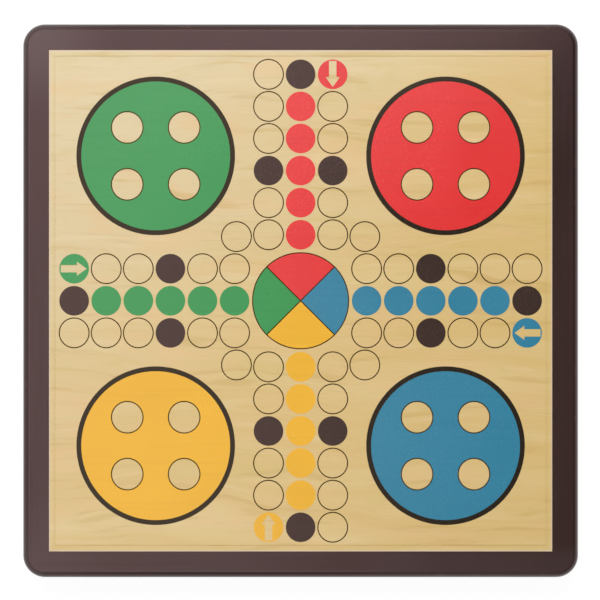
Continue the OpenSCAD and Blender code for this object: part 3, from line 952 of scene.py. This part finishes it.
@dataclass
class BoardPrint:
    """The ludo layout, printed on the outer face of the lid. The teams' inks stand in the teams' order."""

    face: float = 36 * MM
    ink_thickness: float = 0.1 * MM
    lift: float = 0.002 * MM
    gap: float = 0.02 * MM
    line: float = 0.55 * MM
    pitch: float = 16.72 * MM
    arm_start: float = 34.4 * MM
    arm_fields: int = 6
    dark_field: int = 2
    field_size: float = 15.5 * MM
    disc: float = 15.4 * MM
    centre: float = 50 * MM
    home_offset: float = 75.5 * MM
    home: float = 82.6 * MM
    home_ring: float = 2.5 * MM
    place_offset: float = 14.82 * MM
    place: float = 15.9 * MM
    arrow: float = 13.6 * MM
    arrow_shaft: float = 3.9 * MM
    arrow_head_width: float = 7.5 * MM
    arrow_head: float = 5.2 * MM
    arrow_shift: float = 0.2 * MM
    large_steps: int = 192
    inks: tuple[str, ...] = ("e32224", "249144", "eeb00b", "267d9b")
    dark_ink: str = "2f2019"
    ring_ink: str = "18120c"
    line_ink: str = "220e00"
    dark_glow: Colour = (1.0, 0.68, 0.66)
    ring_glow: Colour = (0.72, 0.55, 0.4)
    line_glow: Colour = (0.8, 0.44, 0.03)

    def spot(self, column: int, row: int) -> Flat:
        """The middle of a field of the upper arm, counted from the arm's middle line and inner end."""
        return column * self.pitch, self.arm_start + row * self.pitch

    def home_circle(self, inset: float) -> Loop:
        """A circle inside the edge of the first home."""
        return circle(self.home - 2 * inset, (self.home_offset, self.home_offset), self.large_steps)

    def places(self) -> list[Flat]:
        """The middles of the four waiting places in the first home."""
        near, far = self.home_offset - self.place_offset, self.home_offset + self.place_offset
        return [(near, near), (near, far), (far, near), (far, far)]

    def arrow_loop(self) -> Loop:
        """The start arrow in its field at the outer end of the upper arm, clockwise.

        Returns:
            Its points.
        """
        x, y = self.spot(1, self.arm_fields - 1)
        tail = self.arrow_shift + self.arrow / 2
        tip = self.arrow_shift - self.arrow / 2
        neck = tip + self.arrow_head
        shaft, barb = self.arrow_shaft / 2, self.arrow_head_width / 2
        right = [(shaft, tail), (shaft, neck), (barb, neck), (0.0, tip)]
        left = [(-barb, neck), (-shaft, neck), (-shaft, tail)]
        return [(x + i, y + j) for i, j in right + left]

    def sector(self, diameter: float, apex: float, steps: int = 48) -> Loop:
        """The upper quarter of the middle disc, counter-clockwise.

        Args:
            diameter: The disc's diameter.
            apex: Height of the quarter's corner above the middle.
            steps: Number of steps along the arc.

        Returns:
            The points.
        """
        radius = diameter / 2
        side = (math.sqrt(2 * radius**2 - apex**2) - apex) / 2
        first = math.atan2(side + apex, side)
        sweep = math.pi - 2 * first
        arc = [first + sweep * k / steps for k in range(steps + 1)]
        return [(0.0, apex)] + [(radius * math.cos(t), radius * math.sin(t)) for t in arc]

    def shapes_of(self, team: Team) -> list[list[Loop]]:
        """The shapes printed in one player's colour.

        Args:
            team: The player's colour.

        Returns:
            For each shape its outline and its holes.
        """
        wide = self.place + 2 * self.line + 2 * self.gap
        home = [self.home_circle(self.home_ring + self.gap)]
        home += [hole(circle(wide, at)) for at in self.places()]
        reach = self.centre - self.line - 2 * self.gap
        shapes = [home, [self.sector(reach, (self.line / 2 + self.gap) * math.sqrt(2))]]
        shapes += [[circle(self.disc, self.spot(0, row))] for row in range(self.arm_fields - 1)]
        start = circle(self.disc, self.spot(1, self.arm_fields - 1))
        shapes.append([start, self.arrow_loop()])
        return [[quarter_turned(loop, team.value) for loop in shape] for shape in shapes]

    def dark_shapes(self) -> list[list[Loop]]:
        """The filled fields."""
        spots = [self.spot(0, self.arm_fields - 1), *(self.spot(side, self.dark_field) for side in (-1, 1))]
        return [[quarter_turned(circle(self.disc, at), team.value)] for team in Team for at in spots]

    def ring_shapes(self) -> list[list[Loop]]:
        """The rings round the homes."""
        pair = [self.home_circle(0.0), hole(self.home_circle(self.home_ring))]
        return [[quarter_turned(loop, team.value) for loop in pair] for team in Team]

    def line_shapes(self) -> list[list[Loop]]:
        """The thin outlines of the open fields, the waiting places and the middle disc.

        Returns:
            For each shape its outline and its holes.
        """
        quarter = self.sector(self.centre - self.line, self.line / 2 * math.sqrt(2))
        holes = [hole(quarter_turned(quarter, team.value)) for team in Team]
        shapes = [[circle(self.centre + self.line, steps=self.large_steps), *holes]]
        rings = [(self.place + self.line, at) for at in self.places()]
        rings.append((self.field_size, (2 * self.pitch, 2 * self.pitch)))
        for row in range(self.arm_fields):
            for side in (-1, 1):
                is_start = side == 1 and row == self.arm_fields - 1
                if row != self.dark_field and not is_start:
                    rings.append((self.field_size, self.spot(side, row)))
        for team in Team:
            for size, at in rings:
                pair = [circle(size + self.line, at), hole(circle(size - self.line, at))]
                shapes.append([quarter_turned(loop, team.value) for loop in pair])
        return shapes

    def build(self) -> None:
        """Builds the inks. The dark one is in two pieces, as it lies thicker on the home rings."""
        for team in Team:
            name = f"ink_{team.word}"
            self.ink(Ink(name, self.inks[team.value]), self.shapes_of(team), name, f"print_{team.word}")
        dark = Ink(Slot.DARK.value, self.dark_ink, glow=self.dark_glow)
        self.ink(dark, self.dark_shapes(), Slot.DARK.value, "print_dark")
        rings = Ink("ink_home_rings", self.ring_ink, glow=self.ring_glow)
        self.ink(rings, self.ring_shapes(), Slot.DARK.value, "print_dark")
        lines = Ink(Slot.OUTLINES.value, self.line_ink, glow=self.line_glow)
        self.ink(lines, self.line_shapes(), Slot.OUTLINES.value, "print_outlines")

    def ink(self, finish: Ink, shapes: list[list[Loop]], slot: str, node: str) -> None:
        """Builds one ink.

        Args:
            finish: The ink, whose name is also the piece's.
            shapes: For each printed shape its outline and its holes.
            slot: The record's material slot.
            node: The node that it replaces.
        """
        mesh = Mesh()
        for shape in shapes:
            mesh.plate(shape, self.face + self.lift, self.face + self.ink_thickness - self.lift)
        fit(mesh.piece(finish.name), Body.LID, slot, finish.material(), node)


@dataclass
class Compartments:
    """The dividers in the base and the felt in both trays."""

    case: Case
    bin_depth: float = 62 * MM
    die_bin_width: float = 35.6 * MM
    divider_thickness: float = 3 * MM
    lining_gap: float = 0.3 * MM
    cell: float = 3.2 * MM
    unevenness: float = 0.12 * MM
    waves: float = 90.0
    cut_edge: float = 0.3 * MM
    cut_drop: float = 0.2 * MM
    crease_angle: float = 50.0

    @property
    def bin_front(self) -> float:
        """Where the row of small bins starts, behind the long divider."""
        return self.case.half_cavity[1] - self.bin_depth

    @property
    def bin_width(self) -> float:
        """Clear width of a pawn bin."""
        clear = 2 * self.case.half_cavity[0]
        return (clear - self.die_bin_width) / len(Team) - self.divider_thickness

    def bin_left(self, number: int) -> float:
        """The left wall of a bin, counted from the left."""
        return -self.case.half_cavity[0] + number * (self.bin_width + self.divider_thickness)

    def build(self, frame: Frame) -> None:
        """Dresses the dividers and lays the felt.

        Args:
            frame: The loaded frame.
        """
        self.dress_dividers(frame)
        finish = Felt().material()
        wide, deep = self.case.half_cavity
        bottom = self.case.panel_thickness
        front = self.bin_front - self.divider_thickness
        base = {"felt_main": ((-wide, -deep), (wide, front))}
        for team in Team:
            left = self.bin_left(team.value)
            base[f"felt_{team.word}_bin"] = ((left, self.bin_front), (left + self.bin_width, deep))
        base["felt_die_bin"] = ((self.bin_left(len(Team)), self.bin_front), (wide, deep))
        for name, (low, high) in base.items():
            self.lay(name, low, high, bottom, Body.BASE, finish)
        top = self.case.height - self.case.panel_thickness
        self.lay("felt_lid", (-wide, -deep), (wide, deep), top, Body.LID, finish)

    def dress_dividers(self, frame: Frame) -> None:
        """Gives each divider its plywood, with the layers in their place.

        Args:
            frame: The loaded frame.
        """
        for name in ("long_divider", *(f"cross_divider_{team.value + 1}" for team in Team)):
            across = Grain.ALONG_Y if name == "long_divider" else Grain.ALONG_X
            low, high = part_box(name)
            centre = (low[across.value] + high[across.value]) / 2
            ply = Ply(f"ply_{name}", across, centre, self.divider_thickness)
            dress(frame, ply.material(), name)

    def lay(self, name: str, low: Flat, high: Flat, seat: float, body: Body, finish: Material) -> None:
        """Lays one sheet of felt.

        Args:
            name: The sheet's name.
            low: The compartment's lowest corner.
            high: Its highest corner.
            seat: Height of the face that the sheet lies on.
            body: The tray that it lies in.
            finish: The felt.
        """
        side = 1 if body is Body.BASE else -1
        spans = [(a + self.lining_gap, b - self.lining_gap) for a, b in zip(low, high)]
        lines = [self.cut_lines(*span) for span in spans]
        mesh = Mesh()
        mesh.add(*self.sheet(lines, seat, side))
        made = mesh.piece(name, self.crease_angle)
        piece = fit(made, body, Slot.FELT.value, finish, f"{body.value}_lining")

    def cut_lines(self, start: float, end: float) -> list[float]:
        """Divides a sheet along one axis, closer together at its two cut edges.

        Args:
            start: Where the sheet starts.
            end: Where it ends.

        Returns:
            The places of its points.
        """
        count = max(4, round((end - start) / self.cell))
        length = end - start - 2 * self.cut_edge
        return [start, *(start + self.cut_edge + length * k / count for k in range(count + 1)), end]

    def sheet(
        self, lines: list[list[float]], seat: float, side: int
    ) -> tuple[list[Triple], list[tuple[int, ...]]]:
        """A closed sheet whose free face is slightly uneven and rounded at the cut edge.

        Args:
            lines: Places of its points along X and along Y.
            seat: Height of the face that it lies on.
            side: 1 where it lies face up and -1 where it lies under a panel.

        Returns:
            Its points and its faces.
        """
        columns, rows = len(lines[0]), len(lines[1])
        last = (columns - 1, rows - 1)
        points: list[Triple] = []
        for layer in (0, 1):
            for j, y in enumerate(lines[1]):
                for i, x in enumerate(lines[0]):
                    rise = 0.0
                    if layer:
                        at_edge = i in (0, last[0]) or j in (0, last[1])
                        wave = 0.5 + 0.5 * noise.noise(Vector((x * self.waves, y * self.waves, 7.0 * side)))
                        rise = self.case.lining_thickness - self.unevenness * wave - self.cut_drop * at_edge
                    points.append((x, y, seat + side * rise))
        count = columns * rows

        def number(i: int, j: int, layer: int) -> int:
            """A point's number, from its column, its row and its layer."""
            return layer * count + j * columns + i

        faces = []
        for j in range(rows - 1):
            for i in range(columns - 1):
                quad = [(i, j), (i + 1, j), (i + 1, j + 1), (i, j + 1)]
                faces.append(tuple(number(*q, 1) for q in quad))
                faces.append(tuple(number(*q, 0) for q in reversed(quad)))
        rim = [(i, 0) for i in range(columns)]
        rim += [(last[0], j) for j in range(1, rows)]
        rim += [(i, last[1]) for i in reversed(range(columns - 1))]
        rim += [(0, j) for j in reversed(range(1, rows - 1))]
        for a, b in zip(rim, rim[1:] + rim[:1]):
            faces.append((number(*a, 0), number(*b, 0), number(*b, 1), number(*a, 1)))
        if side < 0:
            faces = [tuple(reversed(face)) for face in faces]
        return points, faces


@dataclass
class Hardware:
    """The two hinges with their pins and screws, and the closing magnets."""

    leaves: Metal = Metal("brass", "c79a4e", "8a6630", 0.24, 0.42)
    screws: Metal = Metal("screw_brass", "bd9046", "6f5128", 0.26, 0.46)
    pins: Metal = Metal("pin_steel", "b3b1ac", "7c7a76", 0.22, 0.38)
    magnets: Metal = Metal("nickel", "cfd0d0", "9b9c9e", 0.14, 0.26)

    def dress(self, frame: Frame) -> None:
        """Gives the metal its finishes.

        Args:
            frame: The loaded frame.
        """
        halves = [half.value for half in Body]
        sides = ("left", "right")
        nodes = {
            self.leaves: [f"{side}_hinge_{half}_leaf" for side in sides for half in halves],
            self.screws: [f"{half}_hinge_screws" for half in halves],
            self.pins: [f"{side}_hinge_pin" for side in sides],
            self.magnets: [f"{half}_magnets" for half in halves],
        }
        for metal, names in nodes.items():
            dress(frame, metal.material(), *names)


@dataclass
class Pawns:
    """Four turned pawns of each colour, lying in their bins. The paints stand in the teams' order."""

    bins: Compartments
    height: float = 24 * MM
    foot: float = 12.4 * MM
    foot_height: float = 2.4 * MM
    foot_edge: float = 0.6 * MM
    head: float = 8 * MM
    neck: float = 4.6 * MM
    waist: float = 10.4 * MM
    flank: float = 34 * MM
    gap: float = 1.6 * MM
    skew: float = 3.0
    seat_gap: float = 0.15 * MM
    under_edge: float = 0.25 * MM
    steps: int = 56
    crease_angle: float = 35.0
    paints: tuple[str, ...] = ("cf2229", "1f8440", "e8a61d", "226f96")

    @property
    def head_centre(self) -> float:
        """Height of the head's middle above the foot's underside."""
        return self.height - self.head / 2

    @property
    def tilt(self) -> float:
        """Angle by which a lying pawn's axis drops towards its head, in radians.

        Returns:
            The angle.
        """
        along = self.head_centre - (self.foot_height - self.foot_edge)
        across = self.foot / 2 - self.foot_edge
        reach = math.hypot(along, across)
        return math.atan2(across, along) - math.asin((self.head / 2 - self.foot_edge) / reach)

    @property
    def axis_height(self) -> float:
        """Height of the foot's middle above the felt, when the pawn lies down.

        Returns:
            The height in metres.
        """
        along = self.foot_height - self.foot_edge
        across = self.foot / 2 - self.foot_edge
        return along * math.sin(self.tilt) + across * math.cos(self.tilt) + self.foot_edge

    def profile(self) -> list[Flat]:
        """Radius and height of the pawn's outline, from the middle of its foot to the top of its head.

        Returns:
            The points.
        """
        radius = self.foot / 2
        shoulder = self.foot_height - self.foot_edge
        under = (radius - self.under_edge, self.under_edge)
        outline = [(0.0, 0.0)]
        outline += self.arc(under, self.under_edge, -90, 0, steps=4)
        outline += self.arc((radius - self.foot_edge, shoulder), self.foot_edge, 0, 90, steps=8)
        outline += self.flank_arc(steps=18)
        neck_angle = -math.degrees(math.acos(self.neck / self.head))
        outline += self.arc((0.0, self.head_centre), self.head / 2, neck_angle, 90, steps=24)
        outline[-1] = (0.0, self.height)
        return outline

    @staticmethod
    def arc(centre: Flat, radius: float, first: float, last: float, steps: int) -> list[Flat]:
        """Points along an arc, with its angles in degrees."""
        angles = [math.radians(first + (last - first) * k / steps) for k in range(steps + 1)]
        return [(centre[0] + radius * math.cos(a), centre[1] + radius * math.sin(a)) for a in angles]

    def flank_arc(self, steps: int) -> list[Flat]:
        """The hollow flank, from the waist on the foot to the neck under the head.

        Args:
            steps: Number of steps along it.

        Returns:
            Its points, upwards.
        """
        drop = math.sqrt(self.head**2 - self.neck**2) / 2
        low = Vector((self.waist / 2, self.foot_height))
        high = Vector((self.neck / 2, self.head_centre - drop))
        chord = high - low
        rise = math.sqrt(self.flank**2 - (chord.length / 2) ** 2)
        centre = (low + high) / 2 + rise * Vector((chord.y, -chord.x)) / chord.length
        first = math.atan2(low.y - centre.y, low.x - centre.x) % (2 * math.pi)
        last = math.atan2(high.y - centre.y, high.x - centre.x) % (2 * math.pi)
        return self.arc(tuple(centre), self.flank, math.degrees(first), math.degrees(last), steps)

    def place(self, team: Team, column: int, row: int) -> Matrix:
        """Where a pawn lies in its bin.

        Args:
            team: Its colour.
            column: 0 for the left lane and 1 for the right one.
            row: 0 in front and 1 behind.

        Returns:
            The pawn's place, with Z along its axis.
        """
        lane = self.foot + self.gap
        left = self.bins.bin_left(team.value) + self.gap + self.foot / 2
        middle = self.bins.bin_front + self.bins.bin_depth / 2
        x = left + column * lane
        y = middle + (row - 0.5) * (self.height + 2 * self.gap)
        z = self.bins.case.floor_top + self.seat_gap + self.axis_height
        turn = math.radians(self.skew if column == row else -self.skew)
        lying = Euler((-math.pi / 2 - self.tilt, 0, 0)).to_matrix().to_4x4()
        back = Matrix.Translation((0, -self.height / 2, 0))
        return Matrix.Translation((x, y, z)) @ Matrix.Rotation(turn, 4, "Z") @ back @ lying

    def build(self) -> None:
        """Turns sixteen pawns, paints them and lays them in their bins."""
        for team in Team:
            enamel = Enamel(f"enamel_{team.word}", self.paints[team.value], self.height).material()
            for number in range(4):
                mesh = Mesh()
                mesh.turned(self.profile(), self.steps, Matrix.Identity(4))
                pawn = mesh.piece(f"pawn_{team.word}_{number + 1}", self.crease_angle)
                pawn.matrix_world = self.place(team, number % 2, number // 2)
                fit(pawn, Body.BASE, f"pawn_{team.word}", enamel, f"pawns_{team.word}")


@dataclass
class Die:
    """The wooden die, with paint in its pips."""

    bins: Compartments
    size: float = 12 * MM
    pip: float = 2 * MM
    pip_depth: float = 0.35 * MM
    pip_offset: float = 3 * MM
    margin: float = 3.5 * MM
    seat_gap: float = 0.15 * MM
    turn: float = 14.0
    coat: float = 0.05 * MM
    clear: float = 0.012 * MM
    painted_share: float = 0.94
    pip_steps: int = 20
    crease_angle: float = 40.0

    @property
    def centre(self) -> Vector:
        """The die's middle.

        Returns:
            The point in metres.
        """
        inset = self.margin + self.size * math.sqrt(2) / 2
        x = self.bins.bin_left(len(Team)) + inset
        y = self.bins.case.half_cavity[1] - inset
        return Vector((x, y, self.bins.case.floor_top + self.seat_gap + self.size / 2))

    def faces(self) -> list[tuple[int, Matrix]]:
        """Each face's number of pips, with the turn that brings it from +X to its place."""
        turns = [(1, "Z", 0), (6, "Z", 180), (2, "Z", 90), (5, "Z", -90), (4, "Y", 90), (3, "Y", -90)]
        return [(count, Matrix.Rotation(math.radians(angle), 4, axis)) for count, axis, angle in turns]

    def spots(self, count: int) -> list[Flat]:
        """Sets out the pips of a face.

        Args:
            count: Number of pips.

        Returns:
            Their places, in steps from the face's middle.
        """
        corners = [(-1, 1), (1, -1), (-1, -1), (1, 1), (0, 1), (0, -1)]
        pairs = corners[: 2 * (count // 2)]
        return pairs + [(0, 0)] * (count % 2)

    def pool(self) -> list[Flat]:
        """Outline of the paint in one pip: radius, and depth below the face as a negative height.

        Returns:
            The points.
        """
        ball = ((self.pip / 2) ** 2 + self.pip_depth**2) / (2 * self.pip_depth)
        rim = self.pip / 2 * self.painted_share
        steps = 8
        hollow = [rim * k / steps for k in range(steps + 1)]
        under = [(r, ball - self.pip_depth - math.sqrt(ball**2 - r**2) + self.clear) for r in hollow]
        sag = under[0][1] + self.coat
        lift = under[-1][1] - sag
        over = [(r, sag + lift * (r / rim) ** 2) for r in hollow[:-1]]
        return under + list(reversed(over))

    def build(self, frame: Frame) -> None:
        """Dresses the die and fills its pips.

        Args:
            frame: The loaded frame.
        """
        angle = math.radians(self.turn)
        wood = BareTimber("die_timber", Grain.ALONG_X, "e3cb9c", "cdae78", turn=-angle)
        dress(frame, wood.material(), "die")
        whole = Matrix.Translation(self.centre) @ Matrix.Rotation(angle, 4, "Z")
        mesh = Mesh()
        for count, turn in self.faces():
            for i, j in self.spots(count):
                seat = Matrix.Translation((self.size / 2, i * self.pip_offset, j * self.pip_offset))
                outwards = Matrix.Rotation(math.pi / 2, 4, "Y")
                mesh.turned(self.pool(), self.pip_steps, whole @ turn @ seat @ outwards)
        pips = mesh.piece("die_pips", self.crease_angle)
        fit(pips, Body.BASE, Slot.DIE.value, PipPaint().material())


# Studio


@dataclass
class Lamp:
    """A soft rectangular lamp that hangs level above the board, turned about Z by an angle in degrees."""

    name: str
    place: Triple
    size: Flat
    brightness: float
    turn: float = 0.0

    def hang(self) -> None:
        """Makes the lamp. Its brightness is what each part of its face gives, 1 for a white wall."""
        data = bpy.data.lights.new(self.name, "AREA")
        data.shape = "RECTANGLE"
        data.size, data.size_y = self.size
        data.energy = self.brightness * math.pi * self.size[0] * self.size[1]
        lamp = bpy.data.objects.new(self.name, data)
        lamp.location = self.place
        lamp.rotation_euler = (0, 0, math.radians(self.turn))
        lamp.visible_camera = False
        bpy.context.scene.collection.objects.link(lamp)
        log.info("%s: lamp of %.2f by %.2f m", self.name, *self.size)


@dataclass
class Studio:
    """Camera, lamps, white floor and surroundings."""

    board_height: float = 36 * MM
    distance: float = 1.4
    shown: float = 312.63 * MM
    aim: Flat = (-0.32 * MM, 0.4 * MM)
    sensor: float = 36.0
    sight: Flat = (0.01, 100.0)
    floor_size: float = 12.0
    floor_drop: float = 0.05 * MM
    floor_grey: float = 0.8
    floor_white: float = 1.05
    shadow_share: float = 0.13
    ambient: float = 0.35
    ceiling: float = 0.12
    ceiling_heights: Flat = (0.35, 0.8)
    dim_side: float = 0.2
    dim_side_limits: Flat = (0.1, 0.7)
    dim_side_slant: float = -0.45
    lamps: tuple[Lamp, ...] = (
        Lamp("left_strip", (-0.29, -0.085, 1.75), (0.574, 3.8), 2.1, 16.8),
        Lamp("rear_softbox", (0.005, 1.09, 1.75), (0.726, 1.445), 6.0, -9.3),
    )

    def build(self) -> None:
        """Sets the view, hangs the lamps and lays the floor."""
        scene = bpy.context.scene
        scene.view_settings.view_transform = "Standard"
        self.set_camera(scene)
        for lamp in self.lamps:
            lamp.hang()
        self.lay_floor()
        scene.world = self.surroundings()

    def set_camera(self, scene: bpy.types.Scene) -> None:
        """Hangs the camera straight above the board.

        Args:
            scene: The scene.
        """
        data = bpy.data.cameras.new("camera")
        data.sensor_width = self.sensor
        data.lens = self.sensor * self.distance / self.shown
        data.clip_start, data.clip_end = self.sight
        camera = bpy.data.objects.new("camera", data)
        camera.location = (*self.aim, self.board_height + self.distance)
        scene.collection.objects.link(camera)
        bpy.context.scene.camera = camera

    def lay_floor(self) -> None:
        """Lays a white floor that keeps a faint shadow of the case."""
        half = self.floor_size / 2
        mesh = Mesh()
        corners = ((-half, -half), (half, -half), (half, half), (-half, half))
        mesh.add([(x, y, -self.floor_drop) for x, y in corners], [(0, 1, 2, 3)])
        floor = mesh.piece("floor")
        nodes = Nodes(bpy.data.materials.new("white_floor"))
        plain = nodes.node("BsdfDiffuse", {"Color": (self.floor_grey,) * 3})
        faint = nodes.node("BsdfDiffuse", {"Color": (self.shadow_share,) * 3})
        white = nodes.node("Emission", {"Strength": self.floor_white - self.shadow_share})
        both = nodes.node("AddShader", {0: faint.outputs[0], 1: white.outputs[0]})
        self.choose(nodes, "OutputMaterial", plain, both)
        floor.data.materials.append(nodes.owner)

    def surroundings(self) -> bpy.types.World:
        """A white room with a dim ceiling and a dim right front side, and an even light from all sides.

        Returns:
            The world.
        """
        nodes = Nodes(bpy.data.worlds.new("studio"))
        way = nodes.node("TexCoord", {}).outputs["Generated"]
        ceiling = nodes.span(nodes.part(way, 2), *self.ceiling_heights, 1.0, self.ceiling)
        slanted = nodes.product(nodes.part(way, 1), self.dim_side_slant)
        rightward = nodes.calc("ADD", slanted, nodes.part(way, 0))
        side = nodes.span(rightward, *self.dim_side_limits, 1.0, self.dim_side)
        camera_ray = nodes.node("LightPath", {}).outputs["Is Camera Ray"]
        walls = nodes.calc("MAXIMUM", camera_ray, nodes.product(ceiling, side))
        room = nodes.node("Background", {"Color": (1, 1, 1), "Strength": walls})
        even = nodes.node("Background", {"Color": (1, 1, 1), "Strength": self.ambient})
        self.choose(nodes, "OutputWorld", even, room)
        return nodes.owner

    @staticmethod
    def choose(nodes: Nodes, end: str, lighting: bpy.types.Node, seen: bpy.types.Node) -> None:
        """Ends a tree with one shader for what is seen and one for the light that falls on things.

        Args:
            nodes: The tree.
            end: Blender's name for its last node, after "ShaderNode".
            lighting: The shader for the light that falls on things.
            seen: The shader for what the camera sees straight, in a mirror or through glass.
        """
        path = nodes.node("LightPath", {}).outputs
        found = path["Is Camera Ray"]
        for name in ("Is Glossy Ray", "Is Transmission Ray"):
            found = nodes.calc("MAXIMUM", found, path[name])
        choice = nodes.node("MixShader", {0: found, 1: lighting.outputs[0], 2: seen.outputs[0]})
        nodes.node(end, {"Surface": choice.outputs[0]})


def main() -> None:
    """Builds the box from the case to the playing pieces, then the studio round it."""
    logging.basicConfig(level=logging.INFO, format="%(message)s")
    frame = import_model()
    case = Case()
    case.dress(frame)
    BoardPrint(face=case.height).build()
    bins = Compartments(case)
    bins.build(frame)
    Hardware().dress(frame)
    Pawns(bins).build()
    Die(bins).build(frame)
    Studio(board_height=case.height).build()


if __name__ == "__main__":
    main()
